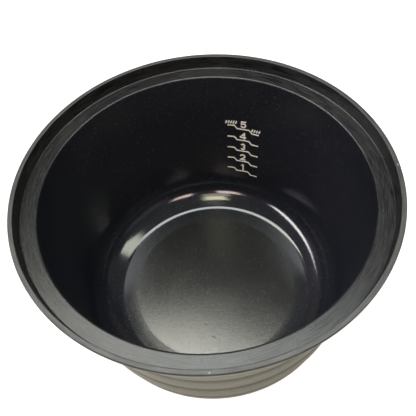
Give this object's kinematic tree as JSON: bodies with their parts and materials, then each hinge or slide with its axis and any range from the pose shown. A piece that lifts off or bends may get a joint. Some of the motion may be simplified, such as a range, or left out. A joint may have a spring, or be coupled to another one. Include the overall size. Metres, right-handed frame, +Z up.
{
  "type": "rice cooker inner pot",
  "caption": "Round non-stick cooking bowl with a ribbed outside, a stepped rim with a raised lip, and printed water levels on the inner wall.",
  "frame": {"origin": "centre of the heating pad, on the plane that the pot stands on", "axes": "+Z up along the pot's axis of revolution; the level marks are on the wall between +Y and +X, and read upright from -Y"},
  "size_m": [0.22, 0.22, 0.1285],
  "materials": {
    "aluminium": "turned bare metal",
    "nonstick": "satin black fluoropolymer with a fine speckle",
    "champagne_coat": "satin champagne-beige metallic",
    "ink": "matt printed ink"
  },
  "bodies": {
    "root": {"pot_shell": "aluminium", "nonstick_lining": "nonstick", "outer_coat": "champagne_coat", "level_line_1": "ink", "level_line_2": "ink", "level_line_3": "ink", "level_line_4": "ink", "level_line_5": "ink", "numeral_1": "ink", "numeral_2": "ink", "numeral_3": "ink", "numeral_4": "ink", "numeral_5": "ink", "rice_mark_left": "ink", "rice_mark_right": "ink"}
  },
  "joints": []
}
